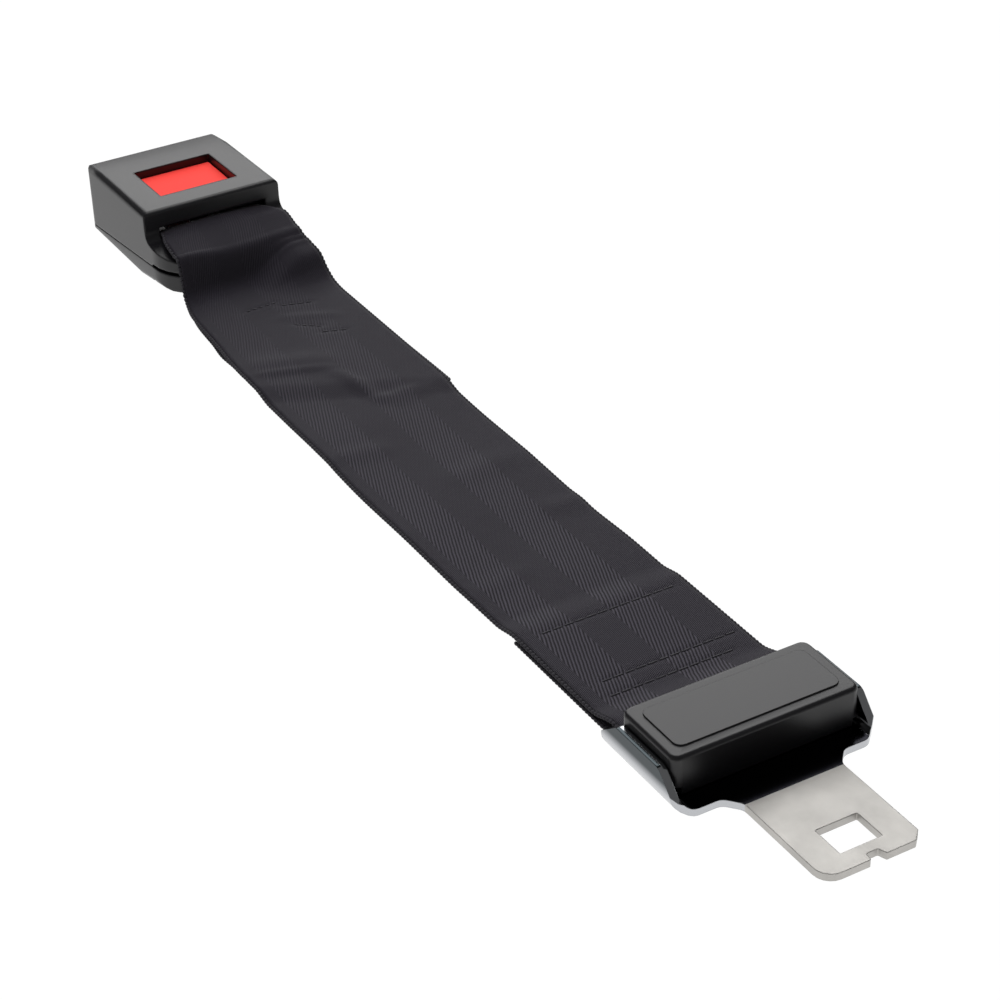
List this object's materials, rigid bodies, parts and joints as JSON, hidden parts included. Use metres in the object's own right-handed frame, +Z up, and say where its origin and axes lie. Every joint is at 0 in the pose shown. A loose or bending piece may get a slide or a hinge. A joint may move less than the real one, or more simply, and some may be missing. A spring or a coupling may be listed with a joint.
{
  "type": "seat belt extender",
  "caption": "Short black car seat belt extender with a red push-button buckle at one end, flat webbing, and a chromed tongue plate with a black cover block at the other.",
  "frame": {"origin": "centre of the bounding box in X and Y, on the surface the extender lies on", "axes": "+X from the buckle mouth to the tip of the tongue, +Z up out of the release button, +Y across the webbing"},
  "size_m": [0.3818, 0.0564, 0.025],
  "materials": {
    "buckle_plastic": "fine-textured moulded black plastic",
    "block_plastic": "fine-textured moulded black plastic, satin on top",
    "zinc_steel": "bright zinc-plated pressed sheet",
    "rivet_steel": "zinc-plated turned rivets",
    "pawl_steel": "hardened steel, plated",
    "pin_steel": "ground steel bar",
    "button_red": "smooth moulded red plastic",
    "ejector_plastic": "grey acetal",
    "spring_steel": "spring wire",
    "screw_steel": "plated screws",
    "tongue_chrome": "bright chrome over a stamped plate with fine rolled grain",
    "webbing": "black-grey polyester seat belt webbing, herringbone weave in five lengthwise bands"
  },
  "bodies": {
    "buckle_and_belt": {"upper_cover": "buckle_plastic", "lower_cover": "buckle_plastic", "buckle_frame": "zinc_steel", "guide_plate": "zinc_steel", "guide_rivet_front_left": "rivet_steel", "guide_rivet_front_right": "rivet_steel", "guide_rivet_rear_left": "rivet_steel", "guide_rivet_rear_right": "rivet_steel", "latch_pin": "pin_steel", "webbing_bar": "pin_steel", "latch_spring": "spring_steel", "ejector_spring": "spring_steel", "tail_screw_left": "screw_steel", "tail_screw_right": "screw_steel", "tongue_plate": "tongue_chrome", "tongue_cover": "block_plastic", "webbing": "webbing"},
    "button": {"release_button": "button_red"},
    "latch": {"latch_pawl": "pawl_steel"},
    "pusher": {"ejector": "ejector_plastic"}
  },
  "joints": [
    {"name": "button_press", "type": "slide", "parent": "buckle_and_belt", "child": "button", "axis": [0, 0, -1], "range_m": [0, 0.0032], "stiffness_N_per_m": 1500, "springref_m": -0.004},
    {"name": "latch_swing", "type": "hinge", "parent": "buckle_and_belt", "child": "latch", "pos_m": [-0.1594, 0, 0.0079], "axis": [0, -1, 0], "range_deg": [0, 14.3], "stiffness_Nm_per_rad": 0.12, "springref_deg": -20.05, "deforming": ["latch_spring"]},
    {"name": "ejector_slide", "type": "slide", "parent": "buckle_and_belt", "child": "pusher", "axis": [1, 0, 0], "range_m": [0, 0.005], "stiffness_N_per_m": 600, "springref_m": -0.003, "deforming": ["ejector_spring"]}
  ],
  "couplings": [
    {"joint": "latch_swing", "follows": "button_press", "rad_per_m": 77.8}
  ]
}
